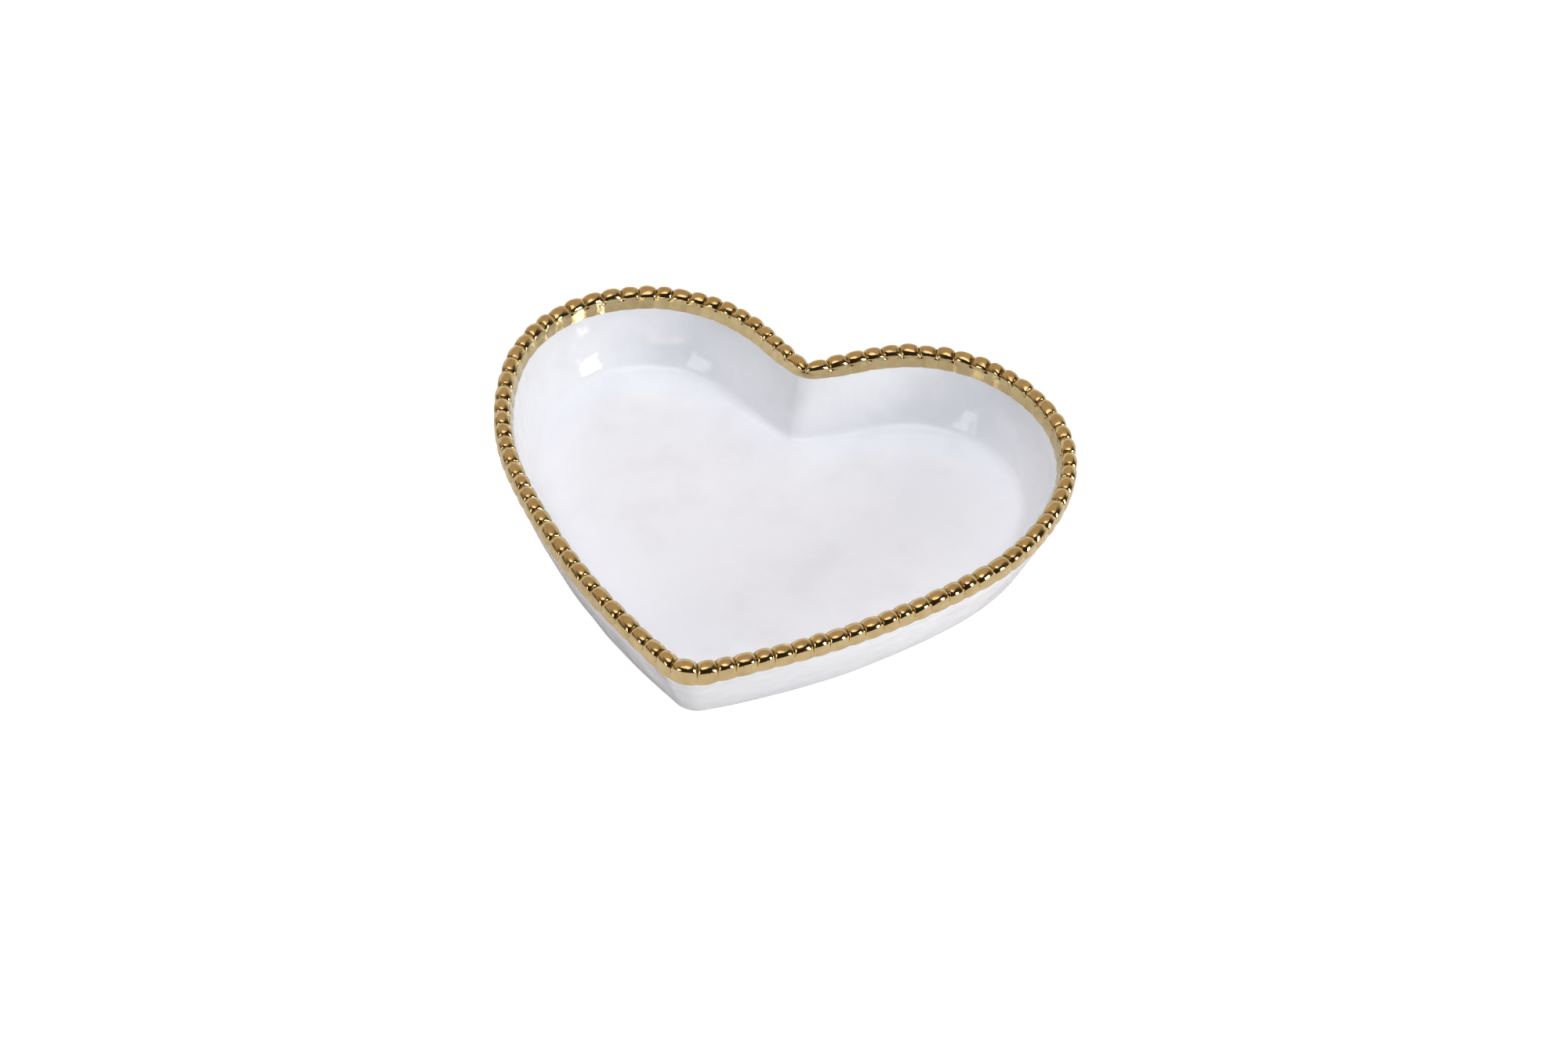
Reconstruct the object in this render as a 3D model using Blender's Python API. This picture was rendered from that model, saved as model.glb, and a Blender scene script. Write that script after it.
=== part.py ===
"""Heart-shaped porcelain trinket dish with a gilded beaded rim.

The dish is a shallow open tray. Its plan is a heart made of tangent arcs, the same on both
sides of the Y axis: +X runs across the lobes, the tip points to -Y, the cleft to +Y, and the
dish stands on Z = 0. A narrow tongue along the top of the wall carries a row of gilded beads.
Each bead is a saddle that sits over the tongue, with a skirt down each side of the wall.
The beads between the tip bead and the two cleft beads are joined two by two.

Every cross-section is drawn in (u, z): u is the distance outwards from the bead line, the
heart that runs through the middle of the beads, and z is the height. Lengths are in mm until
a mesh is written, which is in metres.
"""

import math
import random

import bmesh
import bpy

METRE = 0.001

# Plan of the bead line, right half: six arcs, each tangent to the next. The neck is the nearly
# straight run down into the cleft; the wall under it is steeper than elsewhere.
LOBE_CENTRE = (50.0, 36.35)
LOBE_RADIUS = 52.5
SHOULDER_RADIUS = 96.0
SHOULDER_ANGLE = math.radians(-3.5)
SIDE_RADIUS = 264.0
TIP_CENTRE_Y = -75.85
TIP_RADIUS = 13.0
TIP_RADIUS_LEAST = 9.0
NECK_RADIUS = 300.0
NECK_SLOPE = math.radians(39.0)
NECK_SLOPE_CHANGE = math.radians(0.62)
NECK_CHANGE_FROM = -1.5
CLEFT_RADIUS = 5.0
CLEFT_RADIUS_LEAST = 5.0
CLEFT_SHARPENING = 0.4

# Heights.
RIM_HEIGHT = 33.4
FLOOR_TOP = 4.5
UNDERSIDE_RECESS = 1.2

# Beads and their skirts.
BEAD_RADIUS = 2.95
GROOVE_RADIUS = 1.95
BEAD_FULLNESS_INSIDE = 1.15
SKIRT_DEPTH_INSIDE = 6.5
SKIRT_DEPTH_OUTSIDE = 6.0
SKIRT_FACE_INSIDE = -4.2
SKIRT_FACE_OUTSIDE = 2.8
BEADS_PER_SIDE = 44
TIP_BEAD_LENGTH = 8.0
TIP_BEAD_RADIUS = 3.15
CLEFT_BEAD_LENGTH = 8.0
BEAD_LENGTH_SPREAD = 0.14
BEAD_RADIUS_SPREAD = 0.05
BEAD_SEED = 7

# Wall.
TONGUE_HALF_WIDTH = 0.9
TONGUE_BELOW_RIM = 3.1
WALL_TOP_INSIDE = -4.2
WALL_TOP_OUTSIDE = 2.45
LEAN_INSIDE_TOP = math.radians(8.0)
LEAN_INSIDE_FOOT = math.radians(34.0)
WALL_FOOT_HEIGHT = 7.0
LEAN_OUTSIDE = math.radians(19.7)
BASE_EDGE_RADIUS = 4.2
FOOT_RING_WIDTH = 6.0

GAP = 0.3
CHORD_LENGTHS = (2.4, 11.0, 7.0, 5.0, 6.0, 1.1)
FILLET_STEPS = 4
WALL_STEPS = 4
BEAD_STATIONS = (-1.0, -0.5, 0.5, 1.0)
CORNER_BEAD_STATIONS = (-1.0, -0.7, -0.25, 0.25, 0.7, 1.0)
CROWN_STEPS = 5


# ---------------------------------------------------------------- plan of the heart

def unit(angle):
    return math.cos(angle), math.sin(angle)


def tangent_side_centre():
    """Centre of the side arc, which touches the shoulder arc and the tip arc from outside."""
    reach = LOBE_RADIUS - SHOULDER_RADIUS
    ux, uy = unit(SHOULDER_ANGLE)
    shoulder = (LOBE_CENTRE[0] + reach * ux, LOBE_CENTRE[1] + reach * uy)
    tip = (0.0, TIP_CENTRE_Y)
    from_shoulder = SIDE_RADIUS - SHOULDER_RADIUS
    from_tip = SIDE_RADIUS - TIP_RADIUS
    apart = math.dist(shoulder, tip)
    along = (from_shoulder ** 2 - from_tip ** 2 + apart ** 2) / (2 * apart)
    across = math.sqrt(from_shoulder ** 2 - along ** 2)
    dx = (tip[0] - shoulder[0]) / apart
    dy = (tip[1] - shoulder[1]) / apart
    side = (shoulder[0] + along * dx + across * dy, shoulder[1] + along * dy - across * dx)
    return shoulder, side


SHOULDER_CENTRE, SIDE_CENTRE = tangent_side_centre()


def cleft_radius(u):
    """Radius of the fold in the cleft: largest at the gilded edge, sharper towards the floor."""
    if u >= SKIRT_FACE_INSIDE:
        return CLEFT_RADIUS - u
    below = SKIRT_FACE_INSIDE - u
    return max(CLEFT_RADIUS - SKIRT_FACE_INSIDE - CLEFT_SHARPENING * below, CLEFT_RADIUS_LEAST)


def half_outline(u):
    """Arcs of the right half at offset u, from the tip to the cleft: centre, radius, angles."""
    tip_radius = max(TIP_RADIUS + u, TIP_RADIUS_LEAST)
    tip_reach = SIDE_RADIUS + u - tip_radius
    tip_y = SIDE_CENTRE[1] - math.sqrt(tip_reach ** 2 - SIDE_CENTRE[0] ** 2)
    tip_end = math.atan2(tip_y - SIDE_CENTRE[1], -SIDE_CENTRE[0])
    side_end = math.atan2(SHOULDER_CENTRE[1] - SIDE_CENTRE[1], SHOULDER_CENTRE[0] - SIDE_CENTRE[0])
    lobe_end = math.pi / 2 + NECK_SLOPE + NECK_SLOPE_CHANGE * min(0.0, u - NECK_CHANGE_FROM)
    ux, uy = unit(lobe_end)
    neck_x = LOBE_CENTRE[0] + (LOBE_RADIUS + NECK_RADIUS) * ux
    neck_y = LOBE_CENTRE[1] + (LOBE_RADIUS + NECK_RADIUS) * uy
    cleft_y = neck_y - math.sqrt((NECK_RADIUS - u - cleft_radius(u)) ** 2 - neck_x ** 2)
    neck_end = math.atan2(cleft_y - neck_y, -neck_x)
    down = -math.pi / 2
    return [
        ((0.0, tip_y), tip_radius, down, tip_end),
        (SIDE_CENTRE, SIDE_RADIUS + u, tip_end, side_end),
        (SHOULDER_CENTRE, SHOULDER_RADIUS + u, side_end, SHOULDER_ANGLE),
        (LOBE_CENTRE, LOBE_RADIUS + u, SHOULDER_ANGLE, lobe_end),
        ((neck_x, neck_y), NECK_RADIUS - u, lobe_end - math.pi, neck_end),
        ((0.0, cleft_y), cleft_radius(u), neck_end, down),
    ]


BEAD_LINE = half_outline(0.0)
ARC_LENGTHS = [radius * abs(end - start) for _, radius, start, end in BEAD_LINE]
ARC_STEPS = [math.ceil(length / chord) for length, chord in zip(ARC_LENGTHS, CHORD_LENGTHS)]
HALF_LENGTH = sum(ARC_LENGTHS)


def ring(u, z):
    """The whole heart at offset u and height z, anticlockwise from the tip."""
    right = []
    arcs = half_outline(u)
    for (centre, radius, start, end), steps in zip(arcs, ARC_STEPS):
        for step in range(steps):
            ux, uy = unit(start + (end - start) * step / steps)
            right.append((centre[0] + radius * ux, centre[1] + radius * uy, z))
    cleft = (0.0, arcs[-1][0][1] - arcs[-1][1], z)
    left = [(-x, y, z) for x, y, z in reversed(right[1:])]
    return right + [cleft] + left


def outline_point(distance, u):
    """Point at offset u from the place on the bead line at a distance from the tip.

    Distances to the left of the tip are negative.
    """
    side = -1.0 if distance < 0 else 1.0
    left_over = abs(distance)
    for number, length in enumerate(ARC_LENGTHS):
        if left_over <= length or number == len(ARC_LENGTHS) - 1:
            centre, radius, start, end = half_outline(u)[number]
            ux, uy = unit(start + (end - start) * left_over / length)
            return side * (centre[0] + radius * ux), centre[1] + radius * uy
        left_over -= length


# ---------------------------------------------------------------- meshes

def material(name, colour, roughness, metallic):
    result = bpy.data.materials.new(name)
    result.use_nodes = True
    shader = result.node_tree.nodes["Principled BSDF"]
    shader.inputs["Base Color"].default_value = (*colour, 1.0)
    shader.inputs["Roughness"].default_value = roughness
    shader.inputs["Metallic"].default_value = metallic
    return result


def make_object(name, mesh, surface):
    bmesh.ops.recalc_face_normals(mesh, faces=mesh.faces)
    bmesh.ops.scale(mesh, vec=(METRE, METRE, METRE), verts=mesh.verts)
    data = bpy.data.meshes.new(name)
    mesh.to_mesh(data)
    mesh.free()
    data.materials.append(surface)
    data.shade_smooth()
    data.set_sharp_from_angle(angle=math.radians(40))
    result = bpy.data.objects.new(name, data)
    bpy.context.scene.collection.objects.link(result)
    return result


def loft(mesh, sections):
    """Skin a list of point loops that all have the same number of points."""
    loops = [[mesh.verts.new(point) for point in section] for section in sections]
    for first, second in zip(loops, loops[1:]):
        for index in range(len(first)):
            after = (index + 1) % len(first)
            mesh.faces.new((first[index], first[after], second[after], second[index]))
    return loops


def hollow_curve(first, lean, last_lean, height, steps):
    """Points of a circular arc down from the first one, leaning more and more inwards.

    It falls by the given height while its lean from the upright grows to the last one.
    """
    radius = height / (math.sin(last_lean) - math.sin(lean))
    points = []
    for step in range(1, steps + 1):
        ux, uy = unit(lean + (last_lean - lean) * step / steps)
        points.append((first[0] - radius * (math.cos(lean) - ux),
                       first[1] - radius * (uy - math.sin(lean))))
    return points


# ---------------------------------------------------------------- dish

def base_edge(wall_top):
    """Rounded edge between the foot ring and the outside of the wall, from the ring up."""
    height = BASE_EDGE_RADIUS
    wall_u = wall_top[0] - (wall_top[1] - height) * math.tan(LEAN_OUTSIDE)
    centre_u = wall_u - BASE_EDGE_RADIUS / math.cos(LEAN_OUTSIDE)
    down = -math.pi / 2
    points = []
    for step in range(FILLET_STEPS + 1):
        ux, uy = unit(down + (-LEAN_OUTSIDE - down) * step / FILLET_STEPS)
        points.append((centre_u + BASE_EDGE_RADIUS * ux, height + BASE_EDGE_RADIUS * uy))
    return points


def dish_section():
    """Cross-section of the dish, from the underside round the wall to the floor."""
    top_outside = (WALL_TOP_OUTSIDE, RIM_HEIGHT - SKIRT_DEPTH_OUTSIDE - GAP)
    top_inside = (WALL_TOP_INSIDE, RIM_HEIGHT - SKIRT_DEPTH_INSIDE - GAP)
    tongue_top = RIM_HEIGHT - TONGUE_BELOW_RIM
    outer_foot = base_edge(top_outside)
    ring_inside = outer_foot[0][0] - FOOT_RING_WIDTH
    wall = hollow_curve(top_inside, LEAN_INSIDE_TOP, LEAN_INSIDE_FOOT,
                        top_inside[1] - WALL_FOOT_HEIGHT, WALL_STEPS)
    fillet = hollow_curve(wall[-1], LEAN_INSIDE_FOOT, math.pi / 2,
                          WALL_FOOT_HEIGHT - FLOOR_TOP, FILLET_STEPS)
    return [
        (ring_inside - UNDERSIDE_RECESS, UNDERSIDE_RECESS),
        (ring_inside, 0.0),
        *outer_foot,
        top_outside,
        (TONGUE_HALF_WIDTH, top_outside[1]),
        (TONGUE_HALF_WIDTH, tongue_top),
        (-TONGUE_HALF_WIDTH, tongue_top),
        (-TONGUE_HALF_WIDTH, top_inside[1]),
        top_inside,
        *wall,
        *fillet,
    ]


def build_dish(surface):
    mesh = bmesh.new()
    loops = loft(mesh, [ring(u, z) for u, z in dish_section()])
    mesh.faces.new(loops[0])
    mesh.faces.new(loops[-1])
    caps = [face for face in mesh.faces if len(face.verts) > 4]
    bmesh.ops.triangulate(mesh, faces=caps)
    make_object("dish_body", mesh, surface)


# ---------------------------------------------------------------- beads

def bead_section(distance, radius):
    """Saddle cross-section of a bead, with its crown at the given radius."""
    crown_z = RIM_HEIGHT - BEAD_RADIUS
    skirt_inside = RIM_HEIGHT - SKIRT_DEPTH_INSIDE
    skirt_outside = RIM_HEIGHT - SKIRT_DEPTH_OUTSIDE
    slot = TONGUE_HALF_WIDTH + GAP
    slot_top = RIM_HEIGHT - TONGUE_BELOW_RIM + GAP
    section = [(SKIRT_FACE_INSIDE, skirt_inside)]
    for step in range(CROWN_STEPS + 1):
        ux, uy = unit(math.pi * (1.0 - step / CROWN_STEPS))
        width = radius * BEAD_FULLNESS_INSIDE if ux < 0 else radius
        section.append((width * ux, crown_z + radius * uy))
    section += [
        (SKIRT_FACE_OUTSIDE, skirt_outside),
        (slot, skirt_outside),
        (slot, slot_top),
        (-slot, slot_top),
        (-slot, skirt_inside),
    ]
    return [(*outline_point(distance, u), z) for u, z in section]


def build_beads(name, beads, surface, positions=BEAD_STATIONS):
    """One closed solid for a run of beads: each is its start, end and crown radius."""
    sections = []
    for number, (start, end, radius) in enumerate(beads):
        first = start + (GAP / 2 if number == 0 else 0.0)
        last = end - (GAP / 2 if number == len(beads) - 1 else 0.0)
        stations = positions if number == 0 else positions[1:]
        for station in stations:
            distance = first + (last - first) * (station + 1.0) / 2
            at_end = abs(station) == 1.0
            sections.append(bead_section(distance, GROOVE_RADIUS if at_end else radius))
    mesh = bmesh.new()
    loops = loft(mesh, sections)
    mesh.faces.new(loops[0])
    mesh.faces.new(loops[-1])
    make_object(name, mesh, surface)


def side_beads(chance):
    """Ordinary beads of one side, as start, end and crown radius from the tip upwards."""
    room = HALF_LENGTH - TIP_BEAD_LENGTH / 2 - CLEFT_BEAD_LENGTH
    shares = [chance.uniform(1 - BEAD_LENGTH_SPREAD, 1 + BEAD_LENGTH_SPREAD)
              for _ in range(BEADS_PER_SIDE)]
    beads = []
    start = TIP_BEAD_LENGTH / 2
    for share in shares:
        length = room * share / sum(shares)
        radius = BEAD_RADIUS * chance.uniform(1 - BEAD_RADIUS_SPREAD, 1)
        beads.append((start, start + length, radius))
        start += length
    return beads


def mirrored(bead):
    start, end, radius = bead
    return -end, -start, radius


def build_rim(surface):
    chance = random.Random(BEAD_SEED)
    half_tip = TIP_BEAD_LENGTH / 2
    tip = (-half_tip, half_tip, TIP_BEAD_RADIUS)
    build_beads("bead_tip", [tip], surface, CORNER_BEAD_STATIONS)
    for side in ("right", "left"):
        beads = side_beads(chance)
        cleft = (beads[-1][1], HALF_LENGTH, BEAD_RADIUS)
        if side == "left":
            beads = [mirrored(bead) for bead in beads]
            cleft = mirrored(cleft)
        build_beads(f"bead_cleft_{side}", [cleft], surface, CORNER_BEAD_STATIONS)
        for pair in range(BEADS_PER_SIDE // 2):
            couple = sorted(beads[2 * pair:2 * pair + 2])
            build_beads(f"bead_pair_{side}_{pair + 1:02d}", couple, surface)


def main():
    for existing in list(bpy.data.objects):
        bpy.data.objects.remove(existing)
    porcelain = material("white_porcelain_glaze", (0.86, 0.86, 0.88), 0.12, 0.0)
    gold = material("gold_lustre", (0.74, 0.53, 0.26), 0.14, 1.0)
    build_dish(porcelain)
    build_rim(gold)


main()
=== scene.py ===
"""Looks of the heart-shaped porcelain dish with its gilded beaded rim.

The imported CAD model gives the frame. Its porcelain body and its 47 bead nodes are each replaced
by a finer piece of the same size in the same place: the body with the soft dents of hand-made
ware, and the beads as crowned barrels that run together into a band on each side of the wall.

Lengths in the shape code are in millimetres and become metres when a mesh is written. Sections
are drawn in (u, z): u is the distance outwards from the bead line, the heart that runs through
the middle of the beads, and z is the height.
"""
import math
import random

import bmesh
import bpy
import numpy as np
from mathutils import Matrix, Vector, noise


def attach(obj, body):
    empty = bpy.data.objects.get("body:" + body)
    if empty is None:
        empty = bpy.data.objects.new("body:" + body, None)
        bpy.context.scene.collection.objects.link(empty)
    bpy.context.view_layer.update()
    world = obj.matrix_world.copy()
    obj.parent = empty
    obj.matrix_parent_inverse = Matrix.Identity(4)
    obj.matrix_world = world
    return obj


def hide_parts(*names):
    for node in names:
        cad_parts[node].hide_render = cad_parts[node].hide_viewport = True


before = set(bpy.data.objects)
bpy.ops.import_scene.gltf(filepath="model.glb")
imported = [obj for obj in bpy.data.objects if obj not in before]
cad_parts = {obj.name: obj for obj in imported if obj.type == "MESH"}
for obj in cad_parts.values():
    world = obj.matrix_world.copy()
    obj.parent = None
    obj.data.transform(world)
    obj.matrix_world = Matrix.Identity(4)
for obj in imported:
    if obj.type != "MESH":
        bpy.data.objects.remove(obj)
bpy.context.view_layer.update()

METRE = 0.001

# Plan of the bead line, as in the CAD model.
LOBE_CENTRE = (50.0, 36.35)
LOBE_RADIUS = 52.5
SHOULDER_RADIUS = 96.0
SHOULDER_ANGLE = math.radians(-3.5)
SIDE_RADIUS = 264.0
TIP_CENTRE_Y = -75.85
TIP_RADIUS = 13.0
TIP_RADIUS_LEAST = 9.0
NECK_RADIUS = 300.0
NECK_SLOPE = math.radians(39.0)
NECK_SLOPE_CHANGE = math.radians(0.62)
NECK_CHANGE_FROM = -1.5
CLEFT_RADIUS = 5.0
CLEFT_RADIUS_LEAST = 5.0
CLEFT_SHARPENING = 0.4

# Heights and wall, as in the CAD model.
RIM_HEIGHT = 33.4
FLOOR_TOP = 4.5
UNDERSIDE_RECESS = 1.2
TONGUE_HALF_WIDTH = 0.9
TONGUE_BELOW_RIM = 3.1
LEAN_INSIDE_TOP = math.radians(8.0)
LEAN_INSIDE_FOOT = math.radians(34.0)
WALL_FOOT_HEIGHT = 7.0
LEAN_OUTSIDE = math.radians(19.7)
WALL_TOP_OUTSIDE = 2.45
BASE_EDGE_RADIUS = 4.2
FOOT_RING_WIDTH = 6.0

# Beads, as in the CAD model.
BEAD_RADIUS = 2.95
BEADS_PER_SIDE = 44
TIP_BEAD_LENGTH = 8.0
TIP_BEAD_RADIUS = 3.15
CLEFT_BEAD_LENGTH = 8.0
BEAD_LENGTH_SPREAD = 0.14
BEAD_RADIUS_SPREAD = 0.05
BEAD_SEED = 7
BEAD_FULLNESS_INSIDE = 1.15
SKIRT_DEPTH_INSIDE = 6.5
SKIRT_DEPTH_OUTSIDE = 6.0
SKIRT_FACE_INSIDE = -4.2
SKIRT_FACE_OUTSIDE = 2.78
GAP = 0.3

# Finer shape of the beads. The crease is the groove's depth on the skirts.
GROOVE_DEPTH = 1.7
BULGE_POWER = 2.05
CREASE_INSIDE = 0.24
CREASE_OUTSIDE = 0.5
CREASE_AT_EDGE = 0.16
SCALLOP = 0.4
STATIONS_PER_BEAD = 28
INNER_SKIRT_STEPS = 14
CROWN_STEPS = 24
OUTER_SKIRT_STEPS = 10
CROWN_SCALE = 0.985
LIP_CLEARANCE = 0.08

# How far single beads stray from the mean one, in mm, and the power that shapes their ends.
BEAD_LIFT = (-0.22, 0.16)
BEAD_LEAN = 0.26
BEAD_PUSH = 0.20
BEAD_SKEW = 0.22
BULGE_POWER_SPREAD = (-0.2, 0.3)
HANDWORK_SEED = 23

# Finer shape of the body.
FLOOR_MIDDLE = np.array([0.0, 15.0])
SEAM = 0.03
FOOT_EDGE_RADIUS = 0.5
TONGUE_CHAMFER = 0.3
UNDERSIDE_RINGS = (0.04, 0.16, 0.3, 0.44, 0.58, 0.72, 0.84, 0.93)
FLOOR_RINGS = 46
EDGE_WAVE_REACH = 8.0

# Gilded edges: the small waves of the brush, and where the gold is wider or narrower.
INNER_EDGE_WAVE = 0.16
OUTER_EDGE_WAVE = 0.2
CLEFT_EDGE_RISE = 1.5
LOBE_EDGE_DROP = 0.45
TIP_EDGE_DROP = 1.5
OUTER_EDGE_RISE = 0.25

# Kiln warp at the rim.
WARP_ACROSS = 0.28
WARP_UP = 0.16


# ---------------------------------------------------------------- plan of the heart

def unit(angle):
    return math.cos(angle), math.sin(angle)


def tangent_side_centre():
    """Centre of the side arc, which touches the shoulder arc and the tip arc from outside."""
    reach = LOBE_RADIUS - SHOULDER_RADIUS
    ux, uy = unit(SHOULDER_ANGLE)
    shoulder = (LOBE_CENTRE[0] + reach * ux, LOBE_CENTRE[1] + reach * uy)
    tip = (0.0, TIP_CENTRE_Y)
    from_shoulder = SIDE_RADIUS - SHOULDER_RADIUS
    from_tip = SIDE_RADIUS - TIP_RADIUS
    apart = math.dist(shoulder, tip)
    along = (from_shoulder ** 2 - from_tip ** 2 + apart ** 2) / (2 * apart)
    across = math.sqrt(from_shoulder ** 2 - along ** 2)
    dx = (tip[0] - shoulder[0]) / apart
    dy = (tip[1] - shoulder[1]) / apart
    side = (shoulder[0] + along * dx + across * dy, shoulder[1] + along * dy - across * dx)
    return shoulder, side


SHOULDER_CENTRE, SIDE_CENTRE = tangent_side_centre()


def cleft_radius(u):
    """Radius of the fold in the cleft: largest at the gilded edge, sharper towards the floor."""
    if u >= SKIRT_FACE_INSIDE:
        return CLEFT_RADIUS - u
    below = SKIRT_FACE_INSIDE - u
    return max(CLEFT_RADIUS - SKIRT_FACE_INSIDE - CLEFT_SHARPENING * below, CLEFT_RADIUS_LEAST)


def half_outline(u):
    """Arcs of the right half at offset u, from the tip to the cleft: centre, radius, angles."""
    tip_radius = max(TIP_RADIUS + u, TIP_RADIUS_LEAST)
    tip_reach = SIDE_RADIUS + u - tip_radius
    tip_y = SIDE_CENTRE[1] - math.sqrt(tip_reach ** 2 - SIDE_CENTRE[0] ** 2)
    tip_end = math.atan2(tip_y - SIDE_CENTRE[1], -SIDE_CENTRE[0])
    side_end = math.atan2(SHOULDER_CENTRE[1] - SIDE_CENTRE[1], SHOULDER_CENTRE[0] - SIDE_CENTRE[0])
    lobe_end = math.pi / 2 + NECK_SLOPE + NECK_SLOPE_CHANGE * min(0.0, u - NECK_CHANGE_FROM)
    ux, uy = unit(lobe_end)
    neck_x = LOBE_CENTRE[0] + (LOBE_RADIUS + NECK_RADIUS) * ux
    neck_y = LOBE_CENTRE[1] + (LOBE_RADIUS + NECK_RADIUS) * uy
    cleft_y = neck_y - math.sqrt((NECK_RADIUS - u - cleft_radius(u)) ** 2 - neck_x ** 2)
    neck_end = math.atan2(cleft_y - neck_y, -neck_x)
    down = -math.pi / 2
    return [
        ((0.0, tip_y), tip_radius, down, tip_end),
        (SIDE_CENTRE, SIDE_RADIUS + u, tip_end, side_end),
        (SHOULDER_CENTRE, SHOULDER_RADIUS + u, side_end, SHOULDER_ANGLE),
        (LOBE_CENTRE, LOBE_RADIUS + u, SHOULDER_ANGLE, lobe_end),
        ((neck_x, neck_y), NECK_RADIUS - u, lobe_end - math.pi, neck_end),
        ((0.0, cleft_y), cleft_radius(u), neck_end, down),
    ]


ARC_SPACING = (0.7, 1.25, 1.25, 1.05, 0.95, 0.38)
ARC_LENGTHS = [radius * abs(end - start) for _, radius, start, end in half_outline(0.0)]
ARC_STEPS = [math.ceil(length / spacing) for length, spacing in zip(ARC_LENGTHS, ARC_SPACING)]
HALF_LENGTH = sum(ARC_LENGTHS)


def ring(u):
    """Plan of the whole heart at offset u as an array of points, anticlockwise from the tip."""
    right = []
    arcs = half_outline(u)
    for (centre, radius, start, end), steps in zip(arcs, ARC_STEPS):
        angles = start + (end - start) * np.arange(steps) / steps
        right.append(np.stack([centre[0] + radius * np.cos(angles),
                               centre[1] + radius * np.sin(angles)], axis=1))
    right = np.concatenate(right)
    cleft = np.array([[0.0, arcs[-1][0][1] - arcs[-1][1]]])
    left = right[:0:-1] * (-1.0, 1.0)
    return np.concatenate([right, cleft, left])


def outline_point(distance, u):
    """Point at offset u from the place on the bead line at a distance from the tip."""
    side = -1.0 if distance < 0 else 1.0
    left_over = abs(distance)
    for number, length in enumerate(ARC_LENGTHS):
        if left_over <= length or number == len(ARC_LENGTHS) - 1:
            centre, radius, start, end = half_outline(u)[number]
            ux, uy = unit(start + (end - start) * left_over / length)
            return side * (centre[0] + radius * ux), centre[1] + radius * uy
        left_over -= length


# ---------------------------------------------------------------- hand-made unevenness

def smooth_noise(points, size, shift):
    """Smooth noise from -1 to 1 at points in mm, with lumps of about the given size."""
    scaled = np.asarray(points, float) / size + shift
    return np.array([noise.noise(Vector(point)) for point in scaled])


def smoothstep(low, high, value):
    part = np.clip((value - low) / (high - low), 0.0, 1.0)
    return part * part * (3.0 - 2.0 * part)


def edge_wave(plan, shift, height):
    """Small waves of a brushed edge at points of the bead line."""
    points = np.column_stack([plan, np.zeros(len(plan))])
    fine = smooth_noise(points, 6.0, shift + 9.0)
    return height * (smooth_noise(points, 16.0, shift) + 0.5 * fine)


def inner_edge(plan):
    """How far the gilded edge inside strays up or down, at points of the bead line.

    The gold is narrower in the cleft and a little wider at the far ends of the lobes.
    """
    x, y = np.asarray(plan).T
    cleft = CLEFT_EDGE_RISE * np.exp(-(x / 8.0) ** 2) * (y > 30.0)
    lobes = -LOBE_EDGE_DROP * smoothstep(60.0, 85.0, y) * smoothstep(14.0, 26.0, np.abs(x))
    return edge_wave(plan, 3.0, INNER_EDGE_WAVE) + cleft + lobes


def outer_edge(plan):
    """The same outside, where the gold is widest round the tip."""
    x, y = np.asarray(plan).T
    tip = -TIP_EDGE_DROP * np.exp(-(x / 15.0) ** 2) * (y < -30.0)
    return edge_wave(plan, 21.0, OUTER_EDGE_WAVE) + tip + OUTER_EDGE_RISE


def settle(points):
    """The slight warp that the whole dish took in the kiln; nothing moves at the table."""
    points = np.array(points, float)
    x, y, z = points.T
    rise = np.clip(z / RIM_HEIGHT, 0.0, 1.0)
    out = points.copy()
    out[:, 0] += rise * WARP_ACROSS * np.sin(y / 31.0 + 0.6)
    out[:, 1] += rise * WARP_ACROSS * np.sin(x / 27.0 - 0.9)
    out[:, 2] += rise * WARP_UP * np.sin(x / 38.0 + y / 55.0 + 0.4)
    return out


# ---------------------------------------------------------------- mesh helpers

def make_object(name, vertices, faces, surface, smooth_angle):
    """Closed mesh from points in mm, shaded smooth up to the given angle in degrees."""
    mesh = bmesh.new()
    made = [mesh.verts.new(point) for point in np.asarray(vertices) * METRE]
    for face in faces:
        mesh.faces.new([made[index] for index in face])
    wide = [face for face in mesh.faces if len(face.verts) > 4]
    bmesh.ops.triangulate(mesh, faces=wide)
    bmesh.ops.recalc_face_normals(mesh, faces=mesh.faces)
    data = bpy.data.meshes.new(name)
    mesh.to_mesh(data)
    mesh.free()
    data.materials.append(surface)
    data.shade_smooth()
    data.set_sharp_from_angle(angle=math.radians(smooth_angle))
    result = bpy.data.objects.new(name, data)
    bpy.context.scene.collection.objects.link(result)
    return result


def loft_faces(loops, around):
    """Quads between loops of points that follow each other in one vertex list."""
    faces = []
    for loop in range(loops - 1):
        for index in range(around):
            after = (index + 1) % around
            faces.append((loop * around + index, loop * around + after,
                          (loop + 1) * around + after, (loop + 1) * around + index))
    return faces


def arc(centre, radius, start, end, steps):
    """Points of an arc, with its angles in degrees."""
    angles = np.radians(np.linspace(start, end, steps + 1))
    return [(centre[0] + radius * math.cos(a), centre[1] + radius * math.sin(a)) for a in angles]


def line(first, last, steps):
    """Points after the first one, up to and including the last."""
    return [(first[0] + (last[0] - first[0]) * step / steps,
             first[1] + (last[1] - first[1]) * step / steps) for step in range(1, steps + 1)]


# ---------------------------------------------------------------- porcelain body

def wall_line(top, lean, height):
    """Offset of a leaning wall face at a height below its top."""
    return top[0] - (top[1] - height) * math.tan(lean)


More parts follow.
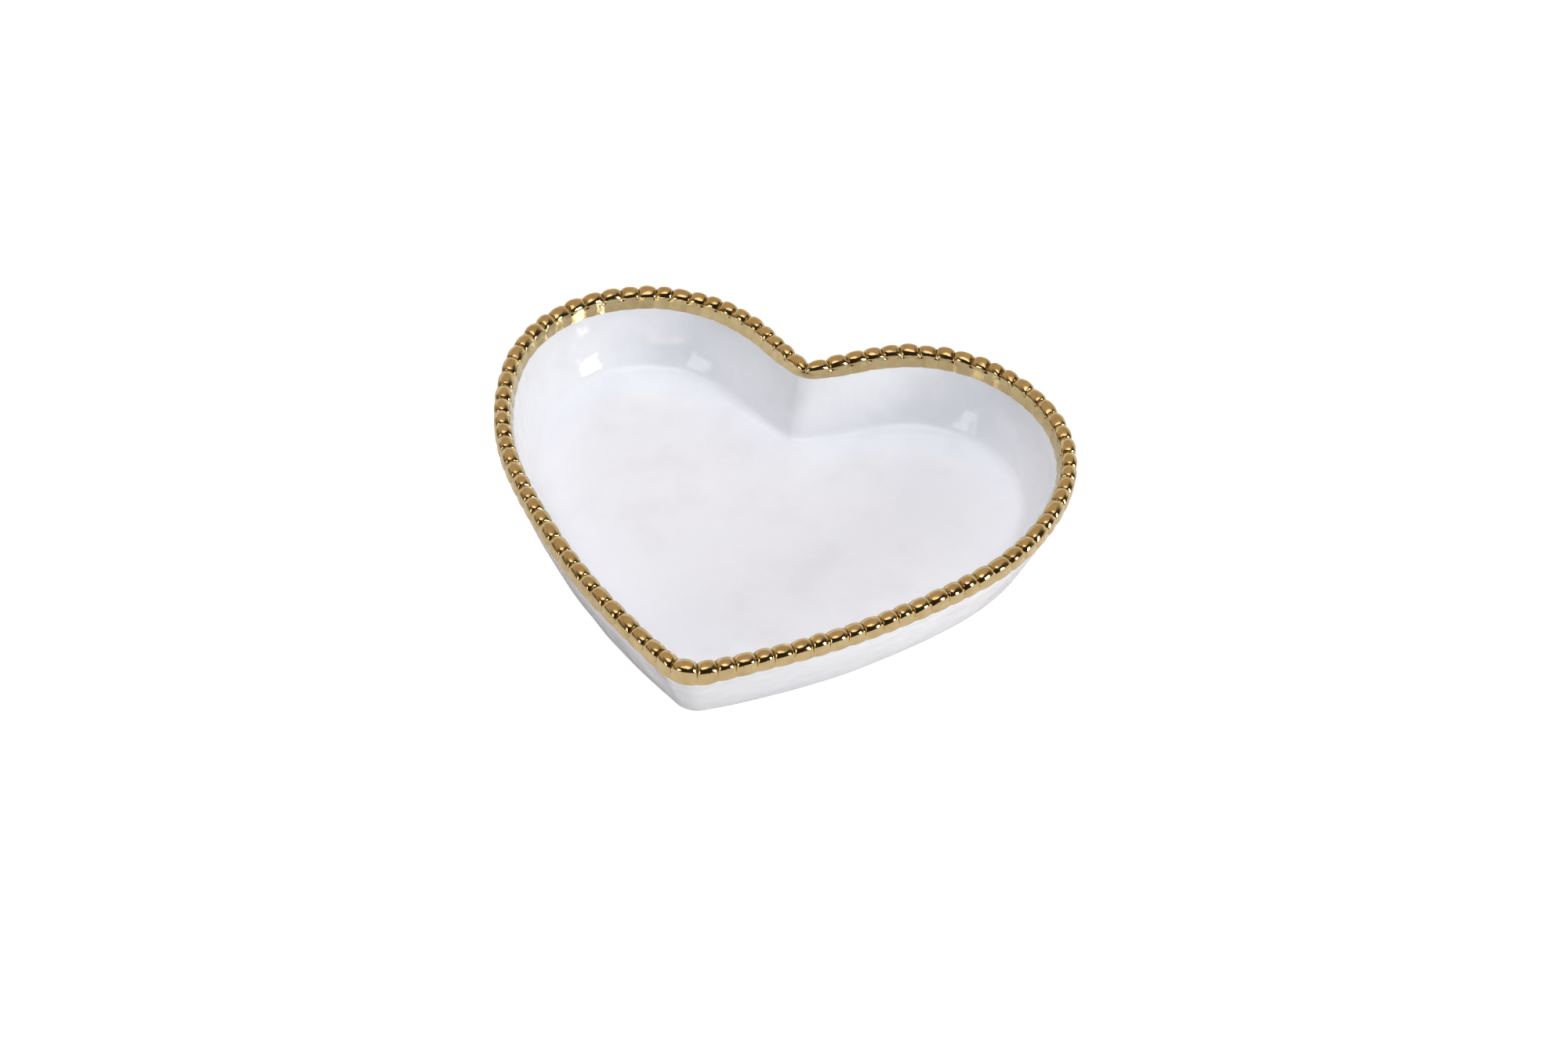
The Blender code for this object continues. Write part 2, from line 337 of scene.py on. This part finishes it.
def hollow_curve(first, lean, last_lean, height, steps):
    """Points of a circular arc down from the first one, leaning more and more inwards."""
    radius = height / (math.sin(last_lean) - math.sin(lean))
    points = []
    for step in range(1, steps + 1):
        ux, uy = unit(lean + (last_lean - lean) * step / steps)
        points.append((first[0] - radius * (math.cos(lean) - ux),
                       first[1] - radius * (uy - math.sin(lean))))
    return points


def body_section():
    """Section of the body from the middle side of the foot ring, up, over and to the floor."""
    top_outside = (WALL_TOP_OUTSIDE, RIM_HEIGHT - SKIRT_DEPTH_OUTSIDE - GAP)
    top_inside = (SKIRT_FACE_INSIDE, RIM_HEIGHT - SKIRT_DEPTH_INSIDE - GAP)
    ledge_outside = RIM_HEIGHT - SKIRT_DEPTH_OUTSIDE - SEAM
    ledge_inside = RIM_HEIGHT - SKIRT_DEPTH_INSIDE - SEAM
    tongue_top = RIM_HEIGHT - TONGUE_BELOW_RIM

    wall_u = wall_line(top_outside, LEAN_OUTSIDE, BASE_EDGE_RADIUS)
    centre_u = wall_u - BASE_EDGE_RADIUS / math.cos(LEAN_OUTSIDE)
    base_edge = arc((centre_u, BASE_EDGE_RADIUS), BASE_EDGE_RADIUS, -90.0,
                    -math.degrees(LEAN_OUTSIDE), 12)
    foot_inside = centre_u - FOOT_RING_WIDTH

    points = [(foot_inside - 3.4, UNDERSIDE_RECESS),
              (foot_inside - 2.4, UNDERSIDE_RECESS),
              (foot_inside - 1.7, UNDERSIDE_RECESS - 0.08),
              (foot_inside - 1.2, UNDERSIDE_RECESS - 0.32),
              (foot_inside - 0.7, 0.5),
              (foot_inside - 0.35, 0.22)]
    points += arc((foot_inside + FOOT_EDGE_RADIUS - 0.2, FOOT_EDGE_RADIUS), FOOT_EDGE_RADIUS,
                  -140.0, -90.0, 3)
    points += line(points[-1], (centre_u - 1.2, 0.0), 3)
    points += base_edge
    outer_top = (wall_line(top_outside, LEAN_OUTSIDE, ledge_outside), ledge_outside)
    points += line(base_edge[-1], outer_top, 20)
    points += [(outer_top[0] - 0.25, ledge_outside),
               (TONGUE_HALF_WIDTH + 0.15, ledge_outside),
               (TONGUE_HALF_WIDTH, ledge_outside + 0.2),
               (TONGUE_HALF_WIDTH, tongue_top - TONGUE_CHAMFER),
               (TONGUE_HALF_WIDTH - TONGUE_CHAMFER, tongue_top),
               (TONGUE_CHAMFER - TONGUE_HALF_WIDTH, tongue_top),
               (-TONGUE_HALF_WIDTH, tongue_top - TONGUE_CHAMFER),
               (-TONGUE_HALF_WIDTH, ledge_inside + 0.2)]
    inner_top = (top_inside[0] + (ledge_inside - top_inside[1]) * math.tan(LEAN_INSIDE_TOP),
                 ledge_inside)
    points += [(-TONGUE_HALF_WIDTH - 0.15, ledge_inside), (inner_top[0] + 0.25, ledge_inside)]
    points += [inner_top, top_inside]
    points += hollow_curve(top_inside, LEAN_INSIDE_TOP, LEAN_INSIDE_FOOT,
                           top_inside[1] - WALL_FOOT_HEIGHT, 20)
    points += hollow_curve(points[-1], LEAN_INSIDE_FOOT, math.pi / 2,
                           WALL_FOOT_HEIGHT - FLOOR_TOP, 18)
    return points


def body_points():
    """Every ring of the body, from the middle of the underside to the middle of the floor."""
    section = body_section()
    plan = ring(0.0)
    wave_inside = inner_edge(plan)
    wave_outside = outer_edge(plan)
    top_inside = RIM_HEIGHT - SKIRT_DEPTH_INSIDE
    top_outside = RIM_HEIGHT - SKIRT_DEPTH_OUTSIDE
    rings = []
    for u, z in section:
        flat = ring(u)
        heights = np.full(len(flat), z)
        if u < 0 and FLOOR_TOP < z < top_inside + 0.05:
            near = smoothstep(top_inside - EDGE_WAVE_REACH, top_inside - 0.1, z)
            heights += wave_inside * near
        if u > 0 and z < top_outside + 0.05:
            near = smoothstep(top_outside - EDGE_WAVE_REACH, top_outside - 0.1, z)
            heights += wave_outside * near
        rings.append(np.column_stack([flat, heights]))
    underside, floor = rings[0], rings[-1]
    below = []
    for part in UNDERSIDE_RINGS:
        flat = FLOOR_MIDDLE + (underside[:, :2] - FLOOR_MIDDLE) * part
        below.append(np.column_stack([flat, underside[:, 2]]))
    above = []
    for step in range(1, FLOOR_RINGS):
        part = 1.0 - step / FLOOR_RINGS
        flat = FLOOR_MIDDLE + (floor[:, :2] - FLOOR_MIDDLE) * part
        above.append(np.column_stack([flat, floor[:, 2]]))
    return below + rings + above


def dents(points, normals):
    """Soft dents left by the hand that pressed the clay, as shifts along the normals."""
    height = points[:, 2]
    shift = 0.42 * smooth_noise(points, 17.0, 4.0) + 0.11 * smooth_noise(points, 7.5, 17.0)
    shift += 0.26 * smooth_noise(points, 44.0, 31.0)
    inside = normals[:, 2] > -0.05
    free = np.where(inside, 1.0 - smoothstep(23.4, 26.2, height),
                    1.0 - smoothstep(22.0, 25.6, height))
    free *= smoothstep(0.0, 3.0, height)
    return (shift * free)[:, None] * normals


def vertex_normals(vertices, faces):
    """Unit normals from the quads that meet at each vertex."""
    quads = np.array([face for face in faces if len(face) == 4])
    a, b, c, d = (vertices[quads[:, k]] for k in range(4))
    face_normals = np.cross(c - a, d - b)
    result = np.zeros_like(vertices)
    for k in range(4):
        np.add.at(result, quads[:, k], face_normals)
    return result / np.maximum(np.linalg.norm(result, axis=1), 1e-9)[:, None]


def build_body(surface):
    rings = body_points()
    around = len(rings[0])
    vertices = np.concatenate(rings)
    faces = loft_faces(len(rings), around)
    normals = vertex_normals(vertices, faces)
    floor_facing = normals[np.argmin(np.abs(vertices[:, 2] - FLOOR_TOP) + np.abs(vertices[:, 0]))]
    if floor_facing[2] < 0:
        normals = -normals
    vertices = vertices + dents(vertices, normals)
    underside_middle = np.array([*FLOOR_MIDDLE, UNDERSIDE_RECESS])
    floor_middle = np.array([*FLOOR_MIDDLE, vertices[-around:, 2].mean()])
    vertices = settle(np.concatenate([vertices, [underside_middle, floor_middle]]))
    count = len(vertices)
    last = (len(rings) - 1) * around
    for index in range(around):
        after = (index + 1) % around
        faces.append((after, index, count - 2))
        faces.append((last + index, last + after, count - 1))
    piece = make_object("porcelain_body", vertices, faces, surface, 60.0)
    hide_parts("dish_body")
    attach(piece, "root")
    return piece


# ---------------------------------------------------------------- gilded beads

def tangent_angle(end, radius, side):
    """Angle at which a line from a skirt's lower end touches the crown's circle."""
    reach = math.hypot(*end)
    return math.atan2(end[1], end[0]) + side * math.acos(radius / reach)


def crown_point(angle, radius):
    """Point and normal of a crown, which is a little fuller towards the inside of the dish."""
    ux, uz = unit(angle)
    width = BEAD_FULLNESS_INSIDE if ux < 0 else 1.0
    size = math.hypot(ux / width, uz)
    return (radius * ux * width, radius * uz), (ux / width / size, uz / size)


def crown_profile(radius):
    """Outside of a bead's section round the crown's centre.

    Each point has its normal, the depth of the groove there and the root that shapes the bead's
    ends there: 0.5 makes them round, 1.0 makes a soft fold.
    """
    inner_end = (SKIRT_FACE_INSIDE, BEAD_RADIUS - SKIRT_DEPTH_INSIDE)
    outer_end = (SKIRT_FACE_OUTSIDE, BEAD_RADIUS - SKIRT_DEPTH_OUTSIDE)
    narrowed = (inner_end[0] / BEAD_FULLNESS_INSIDE, inner_end[1])
    first = tangent_angle(narrowed, radius, -1.0) % (2 * math.pi)
    last = tangent_angle(outer_end, radius, 1.0) if math.hypot(*outer_end) > radius else 0.0
    points = []
    normals = []
    depths = []
    roots = []

    def add(point, normal, depth, root):
        points.append(point)
        normals.append(normal)
        depths.append(depth)
        roots.append(root)

    start, inner_normal = crown_point(first, radius)
    first_depth = GROOVE_DEPTH * 0.42
    for step in range(INNER_SKIRT_STEPS):
        part = step / INNER_SKIRT_STEPS
        along = 1.0 - (1.0 - part) ** 1.5
        below = (1.0 - along) * math.dist(inner_end, start)
        near = float(smoothstep(1.0, 0.0, below))
        add((inner_end[0] + (start[0] - inner_end[0]) * along,
             inner_end[1] + (start[1] - inner_end[1]) * along),
            inner_normal, CREASE_INSIDE + (first_depth - CREASE_INSIDE) * near, 1.0 - 0.45 * near)
    for step in range(CROWN_STEPS + 1):
        angle = first + (last - first) * step / CROWN_STEPS
        point, normal = crown_point(angle, radius)
        share = 0.42 + 0.58 * min(1.0, 1.5 * max(0.0, math.sin(angle) - math.sin(first)))
        if point[0] >= 0:
            share = 0.55 + 0.45 * min(1.0, 1.6 * max(0.0, math.sin(angle)))
        add(point, normal, GROOVE_DEPTH * share, 0.5)
    stop = points[-1]
    for step in range(1, OUTER_SKIRT_STEPS + 1):
        part = step / OUTER_SKIRT_STEPS
        near = float(smoothstep(0.6, 0.0, part))
        low = float(smoothstep(0.3, 1.0, part))
        crease = CREASE_OUTSIDE + (CREASE_AT_EDGE - CREASE_OUTSIDE) * low
        add((stop[0] + (outer_end[0] - stop[0]) * part, stop[1] + (outer_end[1] - stop[1]) * part),
            unit(last), crease + (GROOVE_DEPTH * 0.55 - crease) * near,
            0.9 - 0.35 * near)
    return np.array(points), np.array(normals), np.array(depths), np.array(roots)


GROOVE_POINTS, GROOVE_NORMALS, GROOVE_DEPTHS, BULGE_ROOTS = crown_profile(BEAD_RADIUS * CROWN_SCALE)
GROOVE_PROFILE = GROOVE_POINTS - GROOVE_NORMALS * GROOVE_DEPTHS[:, None]


def side_beads(chance):
    """Ordinary beads of one side, as start, end and crown radius from the tip upwards."""
    room = HALF_LENGTH - TIP_BEAD_LENGTH / 2 - CLEFT_BEAD_LENGTH
    shares = [chance.uniform(1 - BEAD_LENGTH_SPREAD, 1 + BEAD_LENGTH_SPREAD)
              for _ in range(BEADS_PER_SIDE)]
    beads = []
    start = TIP_BEAD_LENGTH / 2
    for share in shares:
        length = room * share / sum(shares)
        radius = BEAD_RADIUS * chance.uniform(1 - BEAD_RADIUS_SPREAD, 1)
        beads.append((start, start + length, radius))
        start += length
    return beads


def mirrored(bead):
    """The same bead on the other side of the tip."""
    start, end, radius = bead
    return -end, -start, radius


def build_beads(node, beads, surface, chance):
    """One closed piece for a CAD bead node: crowned barrels joined at their grooves."""
    slot = TONGUE_HALF_WIDTH + GAP
    slot_top = BEAD_RADIUS - TONGUE_BELOW_RIM + GAP
    inner_end = BEAD_RADIUS - SKIRT_DEPTH_INSIDE
    outer_end = BEAD_RADIUS - SKIRT_DEPTH_OUTSIDE
    lip = WALL_TOP_OUTSIDE + LIP_CLEARANCE
    lining = np.array([(lip, outer_end), (slot, outer_end), (slot, slot_top), (-slot, slot_top),
                       (-slot, inner_end)])
    stations = []
    freedom = np.clip(GROOVE_DEPTHS / GROOVE_DEPTH, 0.0, 1.0) ** 2
    for number, (start, end, radius) in enumerate(beads):
        crown = crown_profile(radius)[0]
        lift = chance.uniform(*BEAD_LIFT)
        lean = chance.uniform(-BEAD_LEAN, BEAD_LEAN)
        push = chance.uniform(-BEAD_PUSH, BEAD_PUSH)
        skew = chance.uniform(-BEAD_SKEW, BEAD_SKEW)
        power = BULGE_POWER + chance.uniform(*BULGE_POWER_SPREAD)
        first = 0 if number == 0 else 1
        for station in range(first, STATIONS_PER_BEAD + 1):
            turn = -1.0 + 2.0 * station / STATIONS_PER_BEAD
            t = math.sin(math.pi / 2 * turn)
            bulge = max(0.0, 1.0 - abs(t) ** power) ** BULGE_ROOTS
            profile = GROOVE_PROFILE + (crown - GROOVE_PROFILE) * bulge[:, None]
            profile[:, 1] += bulge * freedom * (lift + lean * t)
            profile[:, 0] += bulge * freedom * (push + skew * t)
            profile[-3:, 1] -= SCALLOP * max(0.0, 1.0 - t * t) * np.array([0.3, 0.65, 1.0])
            distance = start + (end - start) * (t + 1.0) / 2
            stations.append((distance, np.concatenate([profile, lining])))
    plan = np.array([outline_point(distance, 0.0) for distance, _ in stations])
    wave_inside = inner_edge(plan)
    wave_outside = outer_edge(plan)
    loops = []
    for index, (distance, section) in enumerate(stations):
        low_inside = (section[:, 0] < 0) * smoothstep(0.6, inner_end, section[:, 1])
        low_outside = (section[:, 0] > 0) * smoothstep(0.6, outer_end, section[:, 1])
        rise = wave_inside[index] * low_inside + wave_outside[index] * low_outside
        loops.append(np.array([
            (*outline_point(distance, u), z + RIM_HEIGHT - BEAD_RADIUS + up)
            for (u, z), up in zip(section, rise)]))
    around = len(loops[0])
    vertices = settle(np.concatenate(loops))
    faces = loft_faces(len(loops), around)
    faces.append(tuple(range(around)))
    faces.append(tuple(range((len(loops) - 1) * around, len(loops) * around)))
    piece = make_object("gold_" + node, vertices, faces, surface, 65.0)
    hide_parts(node)
    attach(piece, "root")
    return piece


def build_rim(surface):
    """All 47 bead pieces, with the lengths and radii of the CAD model's beads."""
    chance = random.Random(BEAD_SEED)
    handwork = random.Random(HANDWORK_SEED)
    half_tip = TIP_BEAD_LENGTH / 2
    build_beads("bead_tip", [(-half_tip, half_tip, TIP_BEAD_RADIUS)], surface, handwork)
    for side in ("right", "left"):
        beads = side_beads(chance)
        cleft = (beads[-1][1], HALF_LENGTH, BEAD_RADIUS)
        if side == "left":
            beads = [mirrored(bead) for bead in beads]
            cleft = mirrored(cleft)
        build_beads(f"bead_cleft_{side}", [cleft], surface, handwork)
        for pair in range(BEADS_PER_SIDE // 2):
            couple = sorted(beads[2 * pair:2 * pair + 2])
            build_beads(f"bead_pair_{side}_{pair + 1:02d}", couple, surface, handwork)


# ---------------------------------------------------------------- materials

PORCELAIN_COOL = (0.797, 0.833, 0.885)
PORCELAIN_WARM = (0.814, 0.848, 0.89)
PORCELAIN_GREY = (0.72, 0.745, 0.79)
GOLD_DEEP = (0.54, 0.40, 0.187)
GOLD_PALE = (0.64, 0.508, 0.268)
GOLD_WORN = (0.48, 0.388, 0.235)
SPECK = (0.16, 0.15, 0.15)
CLAY_DARK = (0.70, 0.67, 0.62)
CLAY_PALE = (0.80, 0.78, 0.74)
PAPER_DARK = (0.83, 0.83, 0.84)
PAPER_PALE = (0.85, 0.85, 0.86)


class Nodes:
    """Small helper that adds and links shader nodes."""

    def __init__(self, tree):
        self.tree = tree

    def add(self, kind, **settings):
        node = self.tree.nodes.new(kind)
        for key, value in settings.items():
            setattr(node, key, value)
        return node

    def link(self, source, target):
        self.tree.links.new(source, target)

    def noise(self, coordinates, scale, detail=2.0, roughness=0.5):
        node = self.add("ShaderNodeTexNoise")
        node.inputs["Scale"].default_value = scale
        node.inputs["Detail"].default_value = detail
        node.inputs["Roughness"].default_value = roughness
        self.link(coordinates, node.inputs["Vector"])
        return node.outputs["Fac"]

    def spread(self, value, low, high, from_low=0.0, from_high=1.0):
        node = self.add("ShaderNodeMapRange")
        node.inputs["From Min"].default_value = from_low
        node.inputs["From Max"].default_value = from_high
        node.inputs["To Min"].default_value = low
        node.inputs["To Max"].default_value = high
        self.link(value, node.inputs["Value"])
        return node.outputs["Result"]

    def blend(self, factor, first, second):
        node = self.add("ShaderNodeMix", data_type="RGBA")
        self.link(factor, node.inputs["Factor"])
        for socket, colour in ((node.inputs[6], first), (node.inputs[7], second)):
            if isinstance(colour, tuple):
                socket.default_value = (*colour, 1.0)
            else:
                self.link(colour, socket)
        return node.outputs[2]

    def sum(self, kind, first, second):
        node = self.add("ShaderNodeMath", operation=kind)
        for socket, value in ((node.inputs[0], first), (node.inputs[1], second)):
            if isinstance(value, float):
                socket.default_value = value
            else:
                self.link(value, socket)
        return node.outputs["Value"]

    def bump(self, height, strength, distance, normal=None):
        node = self.add("ShaderNodeBump")
        node.inputs["Strength"].default_value = strength
        node.inputs["Distance"].default_value = distance
        self.link(height, node.inputs["Height"])
        if normal is not None:
            self.link(normal, node.inputs["Normal"])
        return node.outputs["Normal"]


def new_material(name):
    result = bpy.data.materials.new(name)
    result.use_nodes = True
    nodes = Nodes(result.node_tree)
    return result, nodes, result.node_tree.nodes["Principled BSDF"]


def porcelain_material():
    """White glaze: slight clouds of tone, faint ripples, a few pinholes, and a bare foot ring."""
    result, nodes, shader = new_material("white_porcelain_glaze")
    place = nodes.add("ShaderNodeTexCoord").outputs["Object"]
    clouds = nodes.noise(place, 28.0, 3.0)
    tone = nodes.blend(nodes.spread(clouds, 0.0, 1.0, 0.35, 0.65), PORCELAIN_COOL, PORCELAIN_WARM)
    patches = nodes.spread(nodes.noise(place, 60.0, 2.5, 0.5), 0.0, 0.4, 0.5, 0.72)
    tone = nodes.blend(patches, tone, PORCELAIN_GREY)

    grain = nodes.add("ShaderNodeTexVoronoi")
    grain.inputs["Scale"].default_value = 42.0
    nodes.link(place, grain.inputs["Vector"])
    pinhole = nodes.spread(grain.outputs["Distance"], 1.0, 0.0, 0.012, 0.02)
    chosen = nodes.add("ShaderNodeSeparateColor")
    nodes.link(grain.outputs["Color"], chosen.inputs["Color"])
    rare = nodes.sum("GREATER_THAN", chosen.outputs["Red"], 0.97)
    speck = nodes.sum("MULTIPLY", pinhole, rare)
    tone = nodes.blend(speck, tone, SPECK)

    height = nodes.add("ShaderNodeSeparateXYZ")
    nodes.link(place, height.inputs["Vector"])
    bare = nodes.spread(height.outputs["Z"], 1.0, 0.0, 0.0001, 0.0004)
    grit = nodes.noise(place, 1500.0, 2.0)
    clay = nodes.blend(grit, CLAY_DARK, CLAY_PALE)
    nodes.link(nodes.blend(bare, tone, clay), shader.inputs["Base Color"])

    gloss = nodes.spread(nodes.noise(place, 60.0, 2.0), 0.06, 0.11, 0.3, 0.7)
    rough = nodes.add("ShaderNodeMix", data_type="FLOAT")
    nodes.link(bare, rough.inputs["Factor"])
    nodes.link(gloss, rough.inputs[2])
    rough.inputs[3].default_value = 0.55
    nodes.link(rough.outputs[0], shader.inputs["Roughness"])

    ripple = nodes.bump(nodes.noise(place, 80.0, 2.5), 0.7, 0.0010)
    peel = nodes.bump(nodes.noise(place, 380.0, 1.0), 0.14, 0.00006, ripple)
    nodes.link(peel, shader.inputs["Normal"])
    shader.inputs["IOR"].default_value = 1.5
    shader.inputs["Coat Weight"].default_value = 0.25
    shader.inputs["Coat Roughness"].default_value = 0.03
    return result


def gold_material():
    """Fired gold lustre: nearly a mirror, with clouds of paler and redder gold and fine specks."""
    result, nodes, shader = new_material("gold_lustre_finish")
    place = nodes.add("ShaderNodeTexCoord").outputs["Object"]
    clouds = nodes.noise(place, 210.0, 3.0)
    tone = nodes.blend(nodes.spread(clouds, 0.0, 1.0, 0.3, 0.7), GOLD_DEEP, GOLD_PALE)
    brush = nodes.noise(place, 900.0, 2.0)
    worn = nodes.spread(brush, 0.0, 1.0, 0.62, 0.78)
    tone = nodes.blend(worn, tone, GOLD_WORN)
    nodes.link(tone, shader.inputs["Base Color"])
    nodes.link(nodes.spread(nodes.noise(place, 330.0, 2.0), 0.07, 0.14, 0.3, 0.7),
               shader.inputs["Roughness"])
    shader.inputs["Metallic"].default_value = 1.0
    waves = nodes.bump(nodes.noise(place, 300.0, 3.0), 0.4, 0.0004)
    specks = nodes.bump(nodes.noise(place, 1900.0, 2.0), 0.2, 0.00005, waves)
    nodes.link(specks, shader.inputs["Normal"])
    return result


def floor_material():
    """Pale matt paper, lit a little from within for the camera alone so that it looks even."""
    result, nodes, shader = new_material("studio_floor")
    place = nodes.add("ShaderNodeTexCoord").outputs["Object"]
    tone = nodes.blend(nodes.noise(place, 3.0, 2.0), PAPER_DARK, PAPER_PALE)
    nodes.link(tone, shader.inputs["Base Color"])
    shader.inputs["Roughness"].default_value = 0.9
    shader.inputs["Specular IOR Level"].default_value = 0.0
    seen = nodes.add("ShaderNodeLightPath").outputs["Is Camera Ray"]
    shader.inputs["Emission Color"].default_value = (1.0, 1.0, 1.0, 1.0)
    nodes.link(nodes.sum("MULTIPLY", seen, 0.75), shader.inputs["Emission Strength"])
    return result


# ---------------------------------------------------------------- studio

CEILING = (0.64, 0.50, 0.37)
CEILING_GLOW = (2.10, 1.86, 1.56)
BROWN_WALL = (0.19, 0.15, 0.095)
DARK_WALL = (0.035, 0.027, 0.018)
SWEEP = (1.0, 1.0, 1.0)
BENEATH = (0.9, 0.9, 0.9)
FLOOR_SHEET_RADIUS = 6.0
CAMERA_AZIMUTH = math.radians(11.891)
CAMERA_ELEVATION = math.radians(45.180)
CAMERA_ROLL = math.radians(4.691)
CAMERA_DISTANCE = 1.04847
CAMERA_LENS = 66.943
CAMERA_AIM = Vector((0.00674, 0.01594, 0.0))


def direction(azimuth, elevation):
    """Unit vector from the dish, azimuth 0 towards -Y and 90 towards +X, in degrees."""
    a, e = math.radians(azimuth), math.radians(elevation)
    return Vector((math.sin(a) * math.cos(e), -math.cos(a) * math.cos(e), math.sin(e)))


def build_camera():
    """Camera above and beside the tip, rolled a little and aimed at the dish."""
    data = bpy.data.cameras.new("camera")
    data.lens = CAMERA_LENS
    data.sensor_width = 36.0
    data.clip_start = 0.01
    data.clip_end = 50.0
    camera = bpy.data.objects.new("camera", data)
    bpy.context.scene.collection.objects.link(camera)
    back = direction(math.degrees(CAMERA_AZIMUTH), math.degrees(CAMERA_ELEVATION))
    right = Vector((math.cos(CAMERA_AZIMUTH), math.sin(CAMERA_AZIMUTH), 0.0))
    up = back.cross(right)
    c, s = math.cos(CAMERA_ROLL), math.sin(CAMERA_ROLL)
    right, up = right * c + up * s, up * c - right * s
    turn = Matrix((right, up, back)).transposed().to_4x4()
    camera.matrix_world = Matrix.Translation(CAMERA_AIM + back * CAMERA_DISTANCE) @ turn
    bpy.context.scene.camera = camera


def add_softbox(name, azimuth, elevation, distance, width, height, power, glossy, colour):
    """Rectangular light that faces the dish; only a glossy one shows in reflections."""
    data = bpy.data.lights.new(name, "AREA")
    data.color = colour
    data.shape = "RECTANGLE"
    data.size = width
    data.size_y = height
    data.energy = power
    lamp = bpy.data.objects.new(name, data)
    bpy.context.scene.collection.objects.link(lamp)
    away = direction(azimuth, elevation)
    lamp.location = away * distance
    lamp.rotation_euler = away.to_track_quat("Z", "Y").to_euler()
    lamp.visible_glossy = glossy
    return lamp


def build_world():
    """A plain studio: warm ceiling, dark walls beside the camera, a white sweep behind."""
    world = bpy.data.worlds.new("studio")
    bpy.context.scene.world = world
    world.use_nodes = True
    nodes = Nodes(world.node_tree)
    background = world.node_tree.nodes["Background"]
    way = nodes.add("ShaderNodeTexCoord").outputs["Generated"]

    def towards(vector):
        node = nodes.add("ShaderNodeVectorMath", operation="DOT_PRODUCT")
        nodes.link(way, node.inputs[0])
        node.inputs[1].default_value = vector
        return node.outputs["Value"]

    up = towards((0.0, 0.0, 1.0))
    far = towards(tuple(-direction(12.0, 0.0)))
    overhead = towards(tuple(direction(12.0, 60.0)))
    near = towards(tuple(direction(38.0, 0.0)))
    glow = nodes.spread(overhead, 0.0, 1.0, 0.85, 0.965)
    warm = nodes.blend(glow, CEILING, CEILING_GLOW)
    below = nodes.spread(up, 1.0, 0.0, 0.78, 0.83)
    beside = nodes.sum("MULTIPLY", nodes.spread(near, 0.0, 1.0, -0.35, 0.1), below)
    dim = nodes.sum("MAXIMUM", beside, nodes.spread(up, 1.0, 0.0, 0.2, 0.42))
    dark = nodes.sum("MULTIPLY", nodes.spread(near, 0.0, 1.0, 0.0, 0.45), below)
    colour = nodes.blend(dim, warm, BROWN_WALL)
    colour = nodes.blend(dark, colour, DARK_WALL)
    sweep = nodes.spread(far, 0.0, 1.0, 0.25, 0.55)
    low = nodes.spread(up, 1.0, 0.0, 0.22, 0.5)
    colour = nodes.blend(nodes.sum("MULTIPLY", sweep, low), colour, SWEEP)
    beneath = nodes.spread(up, 1.0, 0.0, -0.02, 0.0)
    colour = nodes.blend(beneath, colour, BENEATH)
    seen = nodes.add("ShaderNodeLightPath").outputs["Is Camera Ray"]
    nodes.link(nodes.blend(seen, colour, (1.0, 1.0, 1.0)), background.inputs["Color"])
    background.inputs["Strength"].default_value = 1.0


def build_floor(surface):
    """A wide round sheet of pale paper under the dish."""
    mesh = bmesh.new()
    rim = [mesh.verts.new((FLOOR_SHEET_RADIUS * math.cos(a), FLOOR_SHEET_RADIUS * math.sin(a), 0.0))
           for a in np.linspace(0.0, 2 * math.pi, 128, endpoint=False)]
    mesh.faces.new(rim)
    data = bpy.data.meshes.new("studio_floor")
    mesh.to_mesh(data)
    mesh.free()
    data.materials.append(surface)
    floor = bpy.data.objects.new("studio_floor", data)
    bpy.context.scene.collection.objects.link(floor)


def build_studio():
    build_floor(floor_material())
    build_world()
    add_softbox("overhead_softbox", 12.0, 82.0, 1.6, 1.6, 1.6, 13.2, False, (0.84, 0.98, 1.24))
    add_softbox("right_softbox", 77.0, 17.0, 1.5, 0.42, 0.46, 11.1, True, (1.07, 1.0, 0.93))
    add_softbox("left_softbox", -27.0, 17.0, 1.5, 0.44, 0.56, 1.9, True, (1.0, 0.98, 0.96))
    bpy.context.scene.view_settings.view_transform = "Standard"
    bpy.context.scene.view_settings.look = "None"
    bpy.context.scene.view_settings.exposure = 0.0
    bpy.context.scene.view_settings.gamma = 1.0


build_camera()
build_body(porcelain_material())
build_rim(gold_material())
build_studio()
